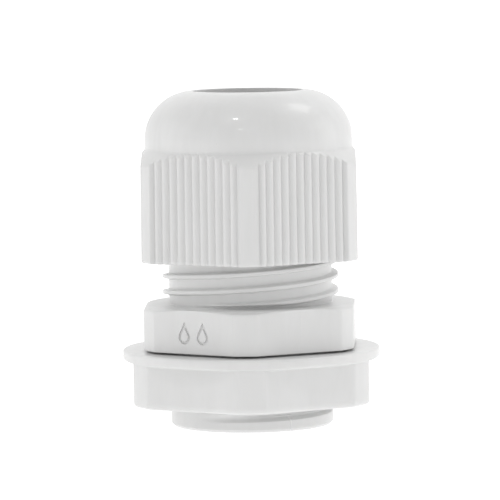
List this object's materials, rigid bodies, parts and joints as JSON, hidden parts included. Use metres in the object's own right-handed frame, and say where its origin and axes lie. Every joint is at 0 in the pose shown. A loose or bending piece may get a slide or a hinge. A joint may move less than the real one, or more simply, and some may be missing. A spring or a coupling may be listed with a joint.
{
  "type": "cable gland",
  "caption": "Moulded nylon cable gland with a domed ribbed compression nut, hexagon flange, threaded inlet and flanged locknut.",
  "frame": {"origin": "centre of the inlet thread's end face, under the middle of the gland", "axes": "+Z along the gland's axis from the inlet thread to the dome, -Y is the front"},
  "size_m": [0.0398, 0.0398, 0.0516],
  "materials": {
    "white_nylon": "satin",
    "grey_rubber": "matte",
    "pale_rubber": "matte"
  },
  "bodies": {
    "gland_body": {"gland_body": "white_nylon"},
    "clamp_insert": {"claw_ring": "white_nylon", "seal_insert": "grey_rubber"},
    "dome_nut": {"dome_nut": "white_nylon"},
    "flange_gasket": {"flange_gasket": "pale_rubber"},
    "locknut": {"locknut": "white_nylon"},
    "claw_01": {"claw_01": "white_nylon"},
    "claw_02": {"claw_02": "white_nylon"},
    "claw_03": {"claw_03": "white_nylon"},
    "claw_04": {"claw_04": "white_nylon"},
    "claw_05": {"claw_05": "white_nylon"},
    "claw_06": {"claw_06": "white_nylon"},
    "claw_07": {"claw_07": "white_nylon"},
    "claw_08": {"claw_08": "white_nylon"},
    "claw_09": {"claw_09": "white_nylon"},
    "claw_10": {"claw_10": "white_nylon"},
    "claw_11": {"claw_11": "white_nylon"},
    "claw_12": {"claw_12": "white_nylon"},
    "claw_13": {"claw_13": "white_nylon"},
    "claw_14": {"claw_14": "white_nylon"}
  },
  "joints": [
    {"name": "insert_travel", "type": "slide", "parent": "gland_body", "child": "clamp_insert", "axis": [0, 0, 1], "range_m": [-0.00625, 0.01215]},
    {"name": "dome_nut_turn", "type": "hinge", "parent": "clamp_insert", "child": "dome_nut", "pos_m": [0, 0, 0.0257], "axis": [0, 0, 1], "range_deg": [-464, 900]},
    {"name": "gasket_travel", "type": "slide", "parent": "gland_body", "child": "flange_gasket", "axis": [0, 0, 1], "range_m": [-0.01232, 0.0001]},
    {"name": "locknut_turn", "type": "hinge", "parent": "flange_gasket", "child": "locknut", "pos_m": [0, 0, 0.0077], "axis": [0, 0, 1], "range_deg": [-2950, 0]},
    {"name": "claw_01_flex", "type": "hinge", "parent": "clamp_insert", "child": "claw_01", "pos_m": [0, -0.0098, 0.03455], "axis": [-1, 0, 0], "range_deg": [0, 7], "stiffness_Nm_per_rad": 0.02},
    {"name": "claw_02_flex", "type": "hinge", "parent": "clamp_insert", "child": "claw_02", "pos_m": [0.00425, -0.00883, 0.03455], "axis": [-0.901, -0.4339, 0], "range_deg": [0, 7]},
    {"name": "claw_03_flex", "type": "hinge", "parent": "clamp_insert", "child": "claw_03", "pos_m": [0.00766, -0.00611, 0.03455], "axis": [-0.6235, -0.7818, 0], "range_deg": [0, 7]},
    {"name": "claw_04_flex", "type": "hinge", "parent": "clamp_insert", "child": "claw_04", "pos_m": [0.00955, -0.00218, 0.03455], "axis": [-0.2225, -0.9749, 0], "range_deg": [0, 7]},
    {"name": "claw_05_flex", "type": "hinge", "parent": "clamp_insert", "child": "claw_05", "pos_m": [0.00955, 0.00218, 0.03455], "axis": [0.2225, -0.9749, 0], "range_deg": [0, 7]},
    {"name": "claw_06_flex", "type": "hinge", "parent": "clamp_insert", "child": "claw_06", "pos_m": [0.00766, 0.00611, 0.03455], "axis": [0.6235, -0.7818, 0], "range_deg": [0, 7]},
    {"name": "claw_07_flex", "type": "hinge", "parent": "clamp_insert", "child": "claw_07", "pos_m": [0.00425, 0.00883, 0.03455], "axis": [0.901, -0.4339, 0], "range_deg": [0, 7]},
    {"name": "claw_08_flex", "type": "hinge", "parent": "clamp_insert", "child": "claw_08", "pos_m": [0, 0.0098, 0.03455], "axis": [1, 0, 0], "range_deg": [0, 7]},
    {"name": "claw_09_flex", "type": "hinge", "parent": "clamp_insert", "child": "claw_09", "pos_m": [-0.00425, 0.00883, 0.03455], "axis": [0.901, 0.4339, 0], "range_deg": [0, 7]},
    {"name": "claw_10_flex", "type": "hinge", "parent": "clamp_insert", "child": "claw_10", "pos_m": [-0.00766, 0.00611, 0.03455], "axis": [0.6235, 0.7818, 0], "range_deg": [0, 7]},
    {"name": "claw_11_flex", "type": "hinge", "parent": "clamp_insert", "child": "claw_11", "pos_m": [-0.00955, 0.00218, 0.03455], "axis": [0.2225, 0.9749, 0], "range_deg": [0, 7]},
    {"name": "claw_12_flex", "type": "hinge", "parent": "clamp_insert", "child": "claw_12", "pos_m": [-0.00955, -0.00218, 0.03455], "axis": [-0.2225, 0.9749, 0], "range_deg": [0, 7]},
    {"name": "claw_13_flex", "type": "hinge", "parent": "clamp_insert", "child": "claw_13", "pos_m": [-0.00766, -0.00611, 0.03455], "axis": [-0.6235, 0.7818, 0], "range_deg": [0, 7]},
    {"name": "claw_14_flex", "type": "hinge", "parent": "clamp_insert", "child": "claw_14", "pos_m": [-0.00425, -0.00883, 0.03455], "axis": [-0.901, 0.4339, 0], "range_deg": [0, 7]}
  ],
  "couplings": [
    {"joint": "insert_travel", "follows": "dome_nut_turn", "m_per_rad": 0.00077031},
    {"joint": "gasket_travel", "follows": "locknut_turn", "m_per_rad": 0.00023873},
    {"joint": "claw_02_flex", "follows": "claw_01_flex", "ratio": 1},
    {"joint": "claw_03_flex", "follows": "claw_01_flex", "ratio": 1},
    {"joint": "claw_04_flex", "follows": "claw_01_flex", "ratio": 1},
    {"joint": "claw_05_flex", "follows": "claw_01_flex", "ratio": 1},
    {"joint": "claw_06_flex", "follows": "claw_01_flex", "ratio": 1},
    {"joint": "claw_07_flex", "follows": "claw_01_flex", "ratio": 1},
    {"joint": "claw_08_flex", "follows": "claw_01_flex", "ratio": 1},
    {"joint": "claw_09_flex", "follows": "claw_01_flex", "ratio": 1},
    {"joint": "claw_10_flex", "follows": "claw_01_flex", "ratio": 1},
    {"joint": "claw_11_flex", "follows": "claw_01_flex", "ratio": 1},
    {"joint": "claw_12_flex", "follows": "claw_01_flex", "ratio": 1},
    {"joint": "claw_13_flex", "follows": "claw_01_flex", "ratio": 1},
    {"joint": "claw_14_flex", "follows": "claw_01_flex", "ratio": 1}
  ]
}
